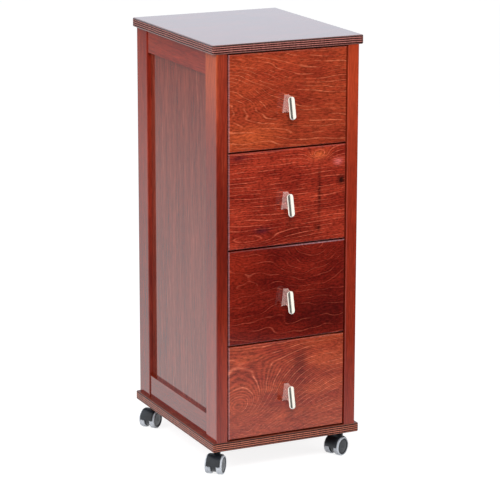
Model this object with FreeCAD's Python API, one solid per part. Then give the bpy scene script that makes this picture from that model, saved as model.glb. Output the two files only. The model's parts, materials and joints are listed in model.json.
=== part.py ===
"""Four-drawer cabinet for sheets of craft paper, on twin-wheel casters.

All sizes are millimetres. +Z is up from the floor, +X is to the right of someone who
faces the drawers, and the drawers open towards -Y. The origin is on the floor, at the
middle of the whole object's box.

The carcass is a frame: four posts stand between two plywood slabs, side rails are
tenoned into the posts, and thin panels sit in grooves. The drawers hang on wooden
runners that are screwed to the posts. Each drawer is a box behind an inset front.
"""
import FreeCAD, Part
import math
import os

V = FreeCAD.Vector
X_AXIS = V(1, 0, 0)
Y_AXIS = V(0, 1, 0)
Z_AXIS = V(0, 0, 1)
SIDES = (-1, 1)
TOLERANCE = 1e-4

# Carcass, over the posts and between the slabs
BODY_WIDTH = 400.0
BODY_DEPTH = 504.0
BODY_HEIGHT = 1010.0
SLAB_THICKNESS = 24.0
SLAB_SIDE_OVERHANG = 11.0
SLAB_END_OVERHANG = 3.0
SLAB_CORNER_RADIUS = 5.0
SLAB_ARRIS_RADIUS = 3.0
POST_WIDTH = 31.0
POST_DEPTH = 66.0
POST_ARRIS_RADIUS = 2.5

# Side frames
RAIL_HEIGHT = 60.0
RAIL_THICKNESS = 20.0
RAIL_SETBACK = 3.0
TENON_LENGTH = 16.0
TENON_THICKNESS = 10.0
TENON_SHOULDER = 10.0
SIDE_PANEL_THICKNESS = 8.0
SIDE_PANEL_SETBACK = 12.0
PANEL_TONGUE = 8.0
PANEL_GROOVE_DEPTH = 9.0
BACK_PANEL_THICKNESS = 6.0
BACK_RABBET = 10.0
BACK_PANEL_GAP = 0.5

# Drawers
DRAWER_COUNT = 4
FRONT_SIDE_GAP = 3.5
FRONT_END_GAP = 3.0
FRONT_BETWEEN_GAP = 4.0
FRONT_THICKNESS = 18.0
FRONT_RECESS = 2.0
FRONT_ARRIS_RADIUS = 2.5
FRONT_LIP = 8.0
BOX_LENGTH = 460.0
BOX_HEIGHT = 200.0
BOX_LIFT = 20.0
BOX_WALL = 12.0
BACK_INSET = 6.0
BACK_DROP = 10.0
BOTTOM_THICKNESS = 6.0
BOTTOM_LIFT = 10.0
BOTTOM_GROOVE_DEPTH = 5.5
BOTTOM_PLAY = 0.2
RUNNER_HEIGHT = 14.0
RUNNER_GROOVE_DEPTH = 6.0
RUNNER_SIDE_PLAY = 0.7
RUNNER_TOP_PLAY = 0.3
RUNNER_BOTTOM_PLAY = 0.7
RUNNER_START = 24.0
RUNNER_END_GAP = 2.0
GROOVE_STOP = 21.0
STOP_WIDTH = 12.0
STOP_HEIGHT = 30.0
STOP_LIFT = 40.0
STOP_PLAY = 0.3

# Pull: a leaning finger bar on a waisted neck
PULL_BAR_LENGTH = 59.0
PULL_BAR_WIDTH = 18.0
PULL_BAR_THICKNESS = 5.0
PULL_BAR_END_RADIUS = 8.0
PULL_BAR_EDGE_RADIUS = 1.6
PULL_BAR_DROP = 18.0
PULL_STANDOFF = 33.0
PULL_LEAN_DEGREES = 13.0
NECK_FOOT_WIDTH = 20.0
NECK_WAIST_WIDTH = 12.0
NECK_BAR_WIDTH = 14.0
NECK_TOP = 11.0
NECK_BOTTOM = -30.0
NECK_WAIST_TOP = 5.0
NECK_WAIST_BOTTOM = -26.0
NECK_BAR_TOP = 8.0
NECK_BAR_BOTTOM = -31.0
PULL_SCREW_SPACING = 32.0
PULL_SCREW_DEPTH = 9.0
PULL_SCREW_RADIUS = 2.0
# The pulls are drilled by hand: how far each sits from the middle of its front in X and Z
PULL_SHIFTS = {1: (-5.0, 1.0), 2: (-7.0, 3.0), 3: (-5.0, 0.0), 4: (-1.0, -3.0)}

# Fasteners: shank radius, head radius, head height, length
BASE_SCREW = (2.5, 5.0, 2.8, 60.0)
RUNNER_SCREW = (2.0, 3.8, 2.2, 30.0)
BACK_SCREW = (1.5, 3.0, 1.8, 18.0)
BOX_SCREW = (1.6, 3.0, 1.8, 30.0)
PLATE_SCREW = (2.0, 3.6, 2.2, 18.0)
BASE_SCREW_OFFSET = 12.0
DOWEL_RADIUS = 4.0
DOWEL_IN_POST = 20.0
DOWEL_IN_SLAB = 16.0
RUNNER_SCREW_INSET = 40.0
BACK_SCREW_ROWS = 5
BOX_SCREW_HEIGHTS = (50.0, 190.0)
BOTTOM_SCREW_PLACES = (-100.0, 0.0, 100.0)

# Casters
CASTER_HEIGHT = 68.0
WHEEL_RADIUS = 25.0
WHEEL_WIDTH = 15.5
WHEEL_GAP = 15.0
WHEEL_CORNER_RADIUS = 2.5
TYRE_THICKNESS = 3.5
HUB_RIM_SETBACK = 2.2
HUB_SHOULDER_SETBACK = 1.0
HUB_DOME_SETBACK = 0.4
HUB_RING_RADIUS = 18.5
HUB_SHOULDER_RADIUS = 13.0
HUB_DOME_RADIUS = 4.5
CASTER_TRAIL = 16.0
HOOD_RADIUS = 28.0
HOOD_STEP = 0.9
HOOD_WIDTH = 38.0
HOOD_STEP_WIDTH = 3.0
HOOD_CLEARANCE = 1.2
HOOD_START_DEGREES = 3.0
HOOD_END_DEGREES = 153.0
WEB_THICKNESS = 13.0
WEB_RADIUS = 20.0
WEB_RELIEF = 1.0
STEM_BOSS_RADIUS = 9.0
STEM_BOSS_LOW = 40.0
STEM_RADIUS = 4.0
STEM_END = 42.0
COLLAR_RADIUS = 8.0
COLLAR_THICKNESS = 2.0
COLLAR_PLAY = 0.4
AXLE_RADIUS = 3.0
AXLE_DEPTH_IN_HUB = 11.0
AXLE_END_PLAY = 0.5
RUNNING_PLAY = 0.05
PLATE_SIZE = 42.0
PLATE_THICKNESS = 2.5
PLATE_CORNER_RADIUS = 4.0
PLATE_HOLE_SPACING = 32.0
STEM_INSET_X = 32.0
STEM_INSET_Y = 46.0
# Corner name, side of the middle plane, front or back, and the way that it trails,
# in degrees from +X towards +Y
CASTERS = (
    ("front_left", -1, -1, 228.5),
    ("front_right", 1, -1, 207.5),
    ("back_left", -1, 1, 217.5),
    ("back_right", 1, 1, 322.5),
)

# Worked out from the above
LEAN = math.radians(PULL_LEAN_DEGREES)
PULL_REACH = (
    PULL_STANDOFF
    + PULL_BAR_LENGTH / 2 * math.sin(LEAN)
    + PULL_BAR_THICKNESS / 2 * math.cos(LEAN)
)
SLAB_HALF_WIDTH = BODY_WIDTH / 2 + SLAB_SIDE_OVERHANG
SLAB_HALF_DEPTH = BODY_DEPTH / 2 + SLAB_END_OVERHANG
FRONT_REACH = BODY_DEPTH / 2 - FRONT_RECESS + PULL_REACH
CENTRE_Y = (FRONT_REACH - SLAB_HALF_DEPTH) / 2
FRONT_Y = CENTRE_Y - BODY_DEPTH / 2
BACK_Y = CENTRE_Y + BODY_DEPTH / 2
LOW_Z = CASTER_HEIGHT + SLAB_THICKNESS
HIGH_Z = LOW_Z + BODY_HEIGHT
POST_INNER_X = BODY_WIDTH / 2 - POST_WIDTH
RAIL_OUTER_X = BODY_WIDTH / 2 - RAIL_SETBACK
RAIL_INNER_X = RAIL_OUTER_X - RAIL_THICKNESS
TENON_INNER_X = (RAIL_OUTER_X + RAIL_INNER_X - TENON_THICKNESS) / 2
PANEL_OUTER_X = BODY_WIDTH / 2 - SIDE_PANEL_SETBACK
PANEL_INNER_X = PANEL_OUTER_X - SIDE_PANEL_THICKNESS
BOX_HALF_WIDTH = POST_INNER_X - FRONT_SIDE_GAP
BOX_INNER_X = BOX_HALF_WIDTH - BOX_WALL
DRAWER_SPAN = BODY_HEIGHT - 2 * FRONT_END_GAP + FRONT_BETWEEN_GAP
DRAWER_PITCH = DRAWER_SPAN / DRAWER_COUNT
FRONT_HEIGHT = DRAWER_PITCH - FRONT_BETWEEN_GAP
FRONT_FACE_Y = FRONT_Y + FRONT_RECESS
FRONT_BACK_Y = FRONT_FACE_Y + FRONT_THICKNESS
BOX_FRONT_Y = FRONT_FACE_Y + FRONT_LIP
BOX_BACK_Y = BOX_FRONT_Y + BOX_LENGTH
GROOVE_X = BOX_HALF_WIDTH - RUNNER_GROOVE_DEPTH
RUNNER_INNER_X = GROOVE_X + RUNNER_SIDE_PLAY
BACK_PANEL_FACE_Y = BACK_Y - BACK_PANEL_THICKNESS


# ---------------------------------------------------------------- helpers
def block(x, y, z):
    """Box between the low and high values of each axis."""
    return Part.makeBox(x[1] - x[0], y[1] - y[0], z[1] - z[0], V(x[0], y[0], z[0]))


def side_span(side, near, far):
    """X span between two distances from the middle plane, on one side of it."""
    return (near, far) if side > 0 else (-far, -near)


def edges_along(shape, axis):
    """Straight edges that run along an axis."""
    found = []
    for edge in shape.Edges:
        ends = [vertex.Point for vertex in edge.Vertexes]
        if len(ends) == 2 and (ends[1] - ends[0]).cross(axis).Length < TOLERANCE:
            found.append(edge)
    return found


def edges_in_plane(shape, axis, value):
    """Edges whose ends both lie in the plane at one value along an axis."""
    found = []
    for edge in shape.Edges:
        offsets = [abs(vertex.Point.dot(axis) - value) for vertex in edge.Vertexes]
        if offsets and max(offsets) < TOLERANCE:
            found.append(edge)
    return found


def screw(point, direction, size):
    """Countersunk screw whose flat head lies at a point, with its shank along a way."""
    radius, head_radius, head_height, length = size
    head = Part.makeCone(head_radius, radius, head_height, point, direction)
    return head.fuse(Part.makeCylinder(radius, length, point, direction))


def pan_screw(point, direction, size):
    """Screw whose pan head stands on the surface at a point."""
    radius, head_radius, head_height, length = size
    head = Part.makeCylinder(head_radius, head_height, point, direction * -1)
    return head.fuse(Part.makeCylinder(radius, length, point, direction))


def drawer_base(number):
    """Height of the lower edge of a drawer's front; drawer 1 is the top one."""
    return LOW_Z + FRONT_END_GAP + (DRAWER_COUNT - number) * DRAWER_PITCH


def drawer_numbers():
    return range(1, DRAWER_COUNT + 1)


# ---------------------------------------------------------------- carcass
def post_centres():
    """Side, end and centre in X and Y of each post."""
    centres = []
    for side in SIDES:
        for end in SIDES:
            x = side * (BODY_WIDTH - POST_WIDTH) / 2
            y = CENTRE_Y + end * (BODY_DEPTH - POST_DEPTH) / 2
            centres.append((side, end, x, y))
    return centres


def top_dowels():
    """Two dowels in the head of each post, blind in the top slab."""
    dowels = []
    for _, _, x, y in post_centres():
        for way in SIDES:
            foot = V(x, y + way * BASE_SCREW_OFFSET, HIGH_Z - DOWEL_IN_POST)
            length = DOWEL_IN_POST + DOWEL_IN_SLAB
            dowels.append(Part.makeCylinder(DOWEL_RADIUS, length, foot))
    return dowels


def base_screws():
    """Two screws up through the base slab into the foot of each post."""
    screws = []
    for _, _, x, y in post_centres():
        for way in SIDES:
            point = V(x, y + way * BASE_SCREW_OFFSET, CASTER_HEIGHT)
            screws.append(screw(point, Z_AXIS, BASE_SCREW))
    return screws


def runner_heights(number):
    """Low and high Z of the runners of one drawer."""
    centre = drawer_base(number) + BOX_LIFT + BOX_HEIGHT / 2
    return centre - RUNNER_HEIGHT / 2, centre + RUNNER_HEIGHT / 2


def runners(side):
    """The wooden strips on one side that the drawers hang on."""
    span = side_span(side, RUNNER_INNER_X, POST_INNER_X)
    length = (FRONT_Y + RUNNER_START, BACK_PANEL_FACE_Y - RUNNER_END_GAP)
    return [block(span, length, runner_heights(number)) for number in drawer_numbers()]


def runner_screws():
    """Each runner is screwed to the front post and to the back post."""
    screws = []
    for side in SIDES:
        for number in drawer_numbers():
            height = sum(runner_heights(number)) / 2
            for y in (FRONT_Y + RUNNER_SCREW_INSET, BACK_Y - RUNNER_SCREW_INSET):
                point = V(side * RUNNER_INNER_X, y, height)
                screws.append(screw(point, X_AXIS * side, RUNNER_SCREW))
    return screws


def back_panel_screws():
    """A column of small screws into each back post."""
    screws = []
    pitch = BODY_HEIGHT / BACK_SCREW_ROWS
    for side in SIDES:
        for row in range(BACK_SCREW_ROWS):
            x = side * (POST_INNER_X + BACK_RABBET / 2)
            point = V(x, BACK_Y, LOW_Z + (row + 0.5) * pitch)
            screws.append(screw(point, Y_AXIS * -1, BACK_SCREW))
    return screws


def slab(low_z, fixings):
    """Plywood slab with rounded corners and arrises."""
    shape = block(
        (-SLAB_HALF_WIDTH, SLAB_HALF_WIDTH),
        (CENTRE_Y - SLAB_HALF_DEPTH, CENTRE_Y + SLAB_HALF_DEPTH),
        (low_z, low_z + SLAB_THICKNESS),
    )
    shape = shape.makeFillet(SLAB_CORNER_RADIUS, edges_along(shape, Z_AXIS))
    arrises = edges_in_plane(shape, Z_AXIS, low_z)
    arrises += edges_in_plane(shape, Z_AXIS, low_z + SLAB_THICKNESS)
    return shape.makeFillet(SLAB_ARRIS_RADIUS, arrises).cut(fixings)


def rail_heights():
    """Low and high Z of the bottom rails and of the top rails."""
    return ((LOW_Z, LOW_Z + RAIL_HEIGHT), (HIGH_Z - RAIL_HEIGHT, HIGH_Z))


def side_rail(side, heights):
    """Rail between the posts of one side, with a tenon at each end, not yet grooved."""
    low, high = heights
    span = (FRONT_Y + POST_DEPTH, BACK_Y - POST_DEPTH)
    rail = block(side_span(side, RAIL_INNER_X, RAIL_OUTER_X), span, heights)
    tenons = block(
        side_span(side, TENON_INNER_X, TENON_INNER_X + TENON_THICKNESS),
        (span[0] - TENON_LENGTH, span[1] + TENON_LENGTH),
        (low + TENON_SHOULDER, high - TENON_SHOULDER),
    )
    return rail.fuse(tenons).removeSplitter()


def panel_space(side, edge):
    """Block in the plane of one side panel, reaching past its frame's inner edges."""
    return block(
        side_span(side, PANEL_INNER_X, PANEL_OUTER_X),
        (FRONT_Y + POST_DEPTH - edge, BACK_Y - POST_DEPTH + edge),
        (LOW_Z + RAIL_HEIGHT - edge, HIGH_Z - RAIL_HEIGHT + edge),
    )


def side_rails():
    rails = []
    for side in SIDES:
        groove = panel_space(side, PANEL_GROOVE_DEPTH)
        for heights in rail_heights():
            rails.append(side_rail(side, heights).cut(groove))
    return rails


def back_panel_blank(gap):
    """The back sheet, short of its rabbets by a gap at each side."""
    half = POST_INNER_X + BACK_RABBET - gap
    return block((-half, half), (BACK_PANEL_FACE_Y, BACK_Y), (LOW_Z, HIGH_Z))


def post(side, end, fixings):
    """Post with eased long edges, mortises, panel groove and the back sheet's rabbet."""
    y = (FRONT_Y, FRONT_Y + POST_DEPTH) if end < 0 else (BACK_Y - POST_DEPTH, BACK_Y)
    x = side_span(side, POST_INNER_X, BODY_WIDTH / 2)
    shape = block(x, y, (LOW_Z, HIGH_Z))
    shape = shape.makeFillet(POST_ARRIS_RADIUS, edges_along(shape, Z_AXIS))
    cutters = [side_rail(side, heights) for heights in rail_heights()]
    cutters.append(panel_space(side, PANEL_GROOVE_DEPTH))
    if end > 0:
        cutters.append(back_panel_blank(0.0))
    return shape.cut(cutters + fixings)


def drawer_stops():
    """Blocks on the back posts that the drawer sides close against."""
    stops = []
    for side in SIDES:
        for number in drawer_numbers():
            low = runner_heights(number)[1] + STOP_LIFT
            span = side_span(side, POST_INNER_X - STOP_WIDTH, POST_INNER_X)
            depth = (BOX_BACK_Y + STOP_PLAY, BACK_PANEL_FACE_Y)
            stops.append(block(span, depth, (low, low + STOP_HEIGHT)))
    return stops


# ---------------------------------------------------------------- drawers
def drawer_front_blank(low):
    shape = block(
        (-BOX_HALF_WIDTH, BOX_HALF_WIDTH),
        (FRONT_FACE_Y, FRONT_BACK_Y),
        (low, low + FRONT_HEIGHT),
    )
    return shape.makeFillet(FRONT_ARRIS_RADIUS, edges_in_plane(shape, Y_AXIS, FRONT_FACE_Y))


def drawer_bottom(low, play):
    """Thin sheet that slides into grooves in the sides and the front."""
    half = BOX_INNER_X + BOTTOM_GROOVE_DEPTH - play
    height = low + BOX_LIFT + BOTTOM_LIFT
    depth = (FRONT_BACK_Y - BOTTOM_GROOVE_DEPTH + play, BOX_BACK_Y - BACK_INSET)
    return block((-half, half), depth, (height, height + BOTTOM_THICKNESS))


def drawer_side(side, low):
    """Side with the runner groove outside, open at the back, and the bottom's groove."""
    base = low + BOX_LIFT
    shape = block(
        side_span(side, BOX_INNER_X, BOX_HALF_WIDTH),
        (BOX_FRONT_Y, BOX_BACK_Y),
        (base, base + BOX_HEIGHT),
    )
    centre = base + BOX_HEIGHT / 2
    groove = block(
        side_span(side, GROOVE_X, BOX_HALF_WIDTH),
        (FRONT_Y + GROOVE_STOP, BOX_BACK_Y),
        (
            centre - RUNNER_HEIGHT / 2 - RUNNER_BOTTOM_PLAY,
            centre + RUNNER_HEIGHT / 2 + RUNNER_TOP_PLAY,
        ),
    )
    return shape.cut(groove)


def drawer_back(low):
    """Back board, between the sides and on top of the bottom."""
    back_y = BOX_BACK_Y - BACK_INSET
    base = low + BOX_LIFT + BOTTOM_LIFT + BOTTOM_THICKNESS
    top = low + BOX_LIFT + BOX_HEIGHT - BACK_DROP
    return block((-BOX_INNER_X, BOX_INNER_X), (back_y - BOX_WALL, back_y), (base, top))


def box_screws(low):
    """Screws through the sides into the front and the back, and up into the back."""
    screws = []
    front_y = (BOX_FRONT_Y + FRONT_BACK_Y) / 2
    back_y = BOX_BACK_Y - BACK_INSET - BOX_WALL / 2
    for side in SIDES:
        for y in (front_y, back_y):
            for height in BOX_SCREW_HEIGHTS:
                point = V(side * BOX_HALF_WIDTH, y, low + height)
                screws.append(screw(point, X_AXIS * -side, BOX_SCREW))
    for x in BOTTOM_SCREW_PLACES:
        point = V(x, back_y, low + BOX_LIFT + BOTTOM_LIFT)
        screws.append(screw(point, Z_AXIS, BOX_SCREW))
    return screws


def pull_place(number):
    """Where a pull's axis meets the face of its drawer front."""
    shift_x, shift_z = PULL_SHIFTS[number]
    return V(shift_x, FRONT_FACE_Y, drawer_base(number) + FRONT_HEIGHT / 2 + shift_z)


def pull_screws(number):
    """Two machine screws from inside the drawer into the pull's neck."""
    place = pull_place(number)
    middle = place.z + (NECK_TOP + NECK_BOTTOM) / 2
    length = FRONT_THICKNESS + PULL_SCREW_DEPTH
    size = (PULL_SCREW_RADIUS, PLATE_SCREW[1], PLATE_SCREW[2], length)
    screws = []
    for way in SIDES:
        point = V(place.x, FRONT_BACK_Y, middle + way * PULL_SCREW_SPACING / 2)
        screws.append(pan_screw(point, Y_AXIS * -1, size))
    return screws


def face_between(first, second):
    """Flat face between two arcs, each through three points, joined end to end."""
    edges = [
        Part.Arc(*first).toShape(),
        Part.makeLine(first[-1], second[0]),
        Part.Arc(*second).toShape(),
        Part.makeLine(second[-1], first[0]),
    ]
    return Part.Face(Part.Wire(edges))


def pull_bar():
    """Flat bar with round ends and eased edges, upright, centred on the origin."""
    half_width = PULL_BAR_WIDTH / 2
    half_length = PULL_BAR_LENGTH / 2
    shape = block(
        (-half_width, half_width),
        (-PULL_BAR_THICKNESS / 2, PULL_BAR_THICKNESS / 2),
        (-half_length, half_length),
    )
    shape = shape.makeFillet(PULL_BAR_END_RADIUS, edges_along(shape, Y_AXIS))
    rims = edges_in_plane(shape, Y_AXIS, -PULL_BAR_THICKNESS / 2)
    rims += edges_in_plane(shape, Y_AXIS, PULL_BAR_THICKNESS / 2)
    return shape.makeFillet(PULL_BAR_EDGE_RADIUS, rims)


def pull_neck():
    """Web between the drawer front and the bar, waisted from the side and from above."""
    depth = -PULL_STANDOFF
    half_way = depth / 2
    top = [V(0, 0, NECK_TOP), V(0, half_way, NECK_WAIST_TOP), V(0, depth, NECK_BAR_TOP)]
    low = [
        V(0, depth, NECK_BAR_BOTTOM),
        V(0, half_way, NECK_WAIST_BOTTOM),
        V(0, 0, NECK_BOTTOM),
    ]
    right = [
        V(NECK_FOOT_WIDTH / 2, 0, -PULL_BAR_LENGTH),
        V(NECK_WAIST_WIDTH / 2, half_way, -PULL_BAR_LENGTH),
        V(NECK_BAR_WIDTH / 2, depth, -PULL_BAR_LENGTH),
    ]
    left = [V(-point.x, point.y, point.z) for point in reversed(right)]
    side_view = face_between(top, low)
    side_view.translate(X_AXIS * (-NECK_FOOT_WIDTH / 2))
    web = side_view.extrude(X_AXIS * NECK_FOOT_WIDTH)
    return web.common(face_between(right, left).extrude(Z_AXIS * (2 * PULL_BAR_LENGTH)))


def pull(number):
    """The one-piece cast pull on a drawer's front."""
    bar = pull_bar()
    bar.rotate(V(0, 0, 0), X_AXIS, -PULL_LEAN_DEGREES)
    bar.translate(V(0, -PULL_STANDOFF, -PULL_BAR_DROP))
    shape = bar.fuse(pull_neck()).removeSplitter()
    shape.translate(pull_place(number))
    return shape.cut(pull_screws(number))


def drawer_nodes(number):
    """All the pieces of one drawer."""
    low = drawer_base(number)
    name = f"drawer_{number}_"
    sides = [drawer_side(side, low) for side in SIDES]
    groove = drawer_bottom(low, 0.0)
    screws = box_screws(low)
    handle_screws = pull_screws(number)
    return {
        name + "front": drawer_front_blank(low).cut(sides + [groove] + screws + handle_screws),
        name + "sides": Part.makeCompound([side.cut([groove] + screws) for side in sides]),
        name + "back": drawer_back(low).cut(screws),
        name + "bottom": drawer_bottom(low, BOTTOM_PLAY).cut(screws),
        name + "pull": pull(number),
        name + "fasteners": Part.makeCompound(screws + handle_screws),
    }


# ---------------------------------------------------------------- casters
def caster_stem():
    """Shouldered pin: a collar under the plate, and the shank that the fork turns on."""
    plate_under = CASTER_HEIGHT - PLATE_THICKNESS
    shank = Part.makeCylinder(STEM_RADIUS, CASTER_HEIGHT - STEM_END, V(0, 0, STEM_END))
    collar = Part.makeCylinder(
        COLLAR_RADIUS, COLLAR_THICKNESS, V(0, 0, plate_under - COLLAR_THICKNESS)
    )
    return shank.fuse(collar).removeSplitter()


def plate_screws():
    """Four screws up through the caster's plate into the base slab."""
    screws = []
    for x in SIDES:
        for y in SIDES:
            half = PLATE_HOLE_SPACING / 2
            point = V(x * half, y * half, CASTER_HEIGHT - PLATE_THICKNESS)
            screws.append(pan_screw(point, Z_AXIS, PLATE_SCREW))
    return screws


def caster_plate():
    half = PLATE_SIZE / 2
    plate = block(
        (-half, half), (-half, half), (CASTER_HEIGHT - PLATE_THICKNESS, CASTER_HEIGHT)
    )
    plate = plate.makeFillet(PLATE_CORNER_RADIUS, edges_along(plate, Z_AXIS))
    return plate.cut(plate_screws() + [caster_stem()])


def across(radius, half_width):
    """Cylinder on the wheel axis, this far each side of the middle."""
    start = V(CASTER_TRAIL, -half_width, WHEEL_RADIUS)
    return Part.makeCylinder(radius, 2 * half_width, start, Y_AXIS)


def hood_sector(radius, half_width):
    """Sector of a disc on the wheel axis, over the back and top of the wheels."""
    start = V(CASTER_TRAIL, half_width, WHEEL_RADIUS)
    sweep = HOOD_END_DEGREES - HOOD_START_DEGREES
    sector = Part.makeCylinder(radius, 2 * half_width, V(0, 0, 0), Z_AXIS, sweep)
    sector.rotate(V(0, 0, 0), Z_AXIS, HOOD_START_DEGREES)
    sector.rotate(V(0, 0, 0), X_AXIS, 90)
    sector.translate(start)
    return sector


def wheel_clearance():
    """The room that the two wheels turn in."""
    radius = WHEEL_RADIUS + HOOD_CLEARANCE
    room = across(radius, HOOD_WIDTH)
    return room.cut(across(radius + WEB_RELIEF, WEB_THICKNESS / 2))


def caster_housing():
    """Hood over both wheels, the round web between them, and the stem boss above."""
    collar_under = CASTER_HEIGHT - PLATE_THICKNESS - COLLAR_THICKNESS
    boss_top = collar_under - COLLAR_PLAY
    boss = Part.makeCylinder(
        STEM_BOSS_RADIUS, boss_top - STEM_BOSS_LOW, V(0, 0, STEM_BOSS_LOW)
    )
    solids = [
        hood_sector(HOOD_RADIUS - HOOD_STEP, HOOD_WIDTH / 2),
        boss,
        across(WEB_RADIUS, WEB_THICKNESS / 2),
    ]
    hood = hood_sector(HOOD_RADIUS, HOOD_WIDTH / 2 - HOOD_STEP_WIDTH)
    shape = hood.fuse(solids).cut(wheel_clearance())
    stem_bore = Part.makeCylinder(
        STEM_RADIUS + RUNNING_PLAY, CASTER_HEIGHT, V(0, 0, STEM_END - COLLAR_PLAY)
    )
    return shape.cut([stem_bore, caster_axle()]).removeSplitter()


def caster_axle():
    return across(AXLE_RADIUS, WHEEL_GAP / 2 + AXLE_DEPTH_IN_HUB)


def revolved(profile, side):
    """Turn a profile of (distance from the middle, radius) points about the wheel axis."""
    points = [V(0, side * out, radius) for out, radius in profile]
    wire = Part.makePolygon(points + points[:1])
    shape = Part.Face(wire).revolve(V(0, 0, 0), Y_AXIS, 360)
    shape.translate(V(CASTER_TRAIL, 0, WHEEL_RADIUS))
    return shape


def caster_wheel(side):
    """Hub with a closed, slightly domed outer face, and the tyre around it."""
    inner = WHEEL_GAP / 2
    outer = inner + WHEEL_WIDTH
    rim = WHEEL_RADIUS - TYRE_THICKNESS
    tyre = revolved(
        [(inner, rim), (inner, WHEEL_RADIUS), (outer, WHEEL_RADIUS), (outer, rim)], side
    )
    corners = [
        edge
        for edge in tyre.Edges
        if edge.Closed and abs(edge.Curve.Radius - WHEEL_RADIUS) < TOLERANCE
    ]
    tyre = tyre.makeFillet(WHEEL_CORNER_RADIUS, corners)
    bore = AXLE_RADIUS + RUNNING_PLAY
    bore_end = inner + AXLE_DEPTH_IN_HUB + AXLE_END_PLAY
    profile = [
        (inner, bore),
        (inner, rim),
        (outer - HUB_RIM_SETBACK, rim),
        (outer - HUB_RIM_SETBACK, HUB_RING_RADIUS),
        (outer - HUB_SHOULDER_SETBACK, HUB_SHOULDER_RADIUS),
        (outer - HUB_DOME_SETBACK, HUB_DOME_RADIUS),
        (outer - HUB_DOME_SETBACK, 0.0),
        (bore_end, 0.0),
        (bore_end, bore),
    ]
    return Part.makeCompound([tyre, revolved(profile, side)])


def placed(shape, side, end, trail_degrees):
    """Turn a caster piece to the way it trails and set it under its corner."""
    x = side * (SLAB_HALF_WIDTH - STEM_INSET_X)
    y = CENTRE_Y + end * (SLAB_HALF_DEPTH - STEM_INSET_Y)
    shape = shape.copy()
    shape.rotate(V(0, 0, 0), Z_AXIS, trail_degrees)
    shape.translate(V(x, y, 0))
    return shape


def caster_nodes():
    """Turning pieces of each caster; its wheels are left and right of its trail."""
    nodes = {}
    for corner, side, end, trail in CASTERS:
        name = f"caster_{corner}_"
        nodes[name + "housing"] = placed(caster_housing(), side, end, trail)
        nodes[name + "axle"] = placed(caster_axle(), side, end, trail)
        nodes[name + "left_wheel"] = placed(caster_wheel(1), side, end, trail)
        nodes[name + "right_wheel"] = placed(caster_wheel(-1), side, end, trail)
    return nodes


def fixed_caster_pieces(make):
    """One fixed piece, or list of pieces, under every corner, square to the cabinet."""
    pieces = []
    for _, side, end, _ in CASTERS:
        made = make()
        for shape in made if isinstance(made, list) else [made]:
            pieces.append(placed(shape, side, end, 0.0))
    return pieces


def carcass_nodes():
    """All the pieces that stand still."""
    plate_fixings = fixed_caster_pieces(plate_screws)
    nodes = {
        "top_panel": slab(HIGH_Z, top_dowels()),
        "bottom_panel": slab(CASTER_HEIGHT, base_screws() + plate_fixings),
        "side_rails": Part.makeCompound(side_rails()),
        "left_side_panel": panel_space(-1, PANEL_TONGUE),
        "right_side_panel": panel_space(1, PANEL_TONGUE),
        "back_panel": back_panel_blank(BACK_PANEL_GAP).cut(back_panel_screws()),
        "left_runners": Part.makeCompound([strip.cut(runner_screws()) for strip in runners(-1)]),
        "right_runners": Part.makeCompound([strip.cut(runner_screws()) for strip in runners(1)]),
        "drawer_stops": Part.makeCompound(drawer_stops()),
        "top_dowels": Part.makeCompound(top_dowels()),
        "base_screws": Part.makeCompound(base_screws()),
        "runner_screws": Part.makeCompound(runner_screws()),
        "back_panel_screws": Part.makeCompound(back_panel_screws()),
        "caster_plates": Part.makeCompound(fixed_caster_pieces(caster_plate)),
        "caster_stems": Part.makeCompound(fixed_caster_pieces(caster_stem)),
        "caster_plate_screws": Part.makeCompound(plate_fixings),
    }
    fixings = top_dowels() + base_screws() + runner_screws() + back_panel_screws()
    fixings += plate_fixings
    for side, end, _, _ in post_centres():
        name = ("front_" if end < 0 else "back_") + ("left_" if side < 0 else "right_") + "post"
        nodes[name] = post(side, end, fixings)
    return nodes


def main():
    os.makedirs("parts", exist_ok=True)
    nodes = carcass_nodes()
    for number in drawer_numbers():
        nodes.update(drawer_nodes(number))
    nodes.update(caster_nodes())
    for name, shape in nodes.items():
        shape.exportStep(f"parts/{name}.step")
    print(len(nodes), "nodes")


main()
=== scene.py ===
"""Looks of a four-drawer paper cabinet: red-stained birch and plywood under gloss lacquer,
nickel-plated pulls, and twin-wheel casters of dark nylon with pale grey tyres.

Metres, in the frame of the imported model: +Z is up from the floor and the drawers open
towards -Y. MM turns a size in millimetres into metres.
"""
import json
import math
import bmesh
import bpy
from mathutils import Matrix, Vector

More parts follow.
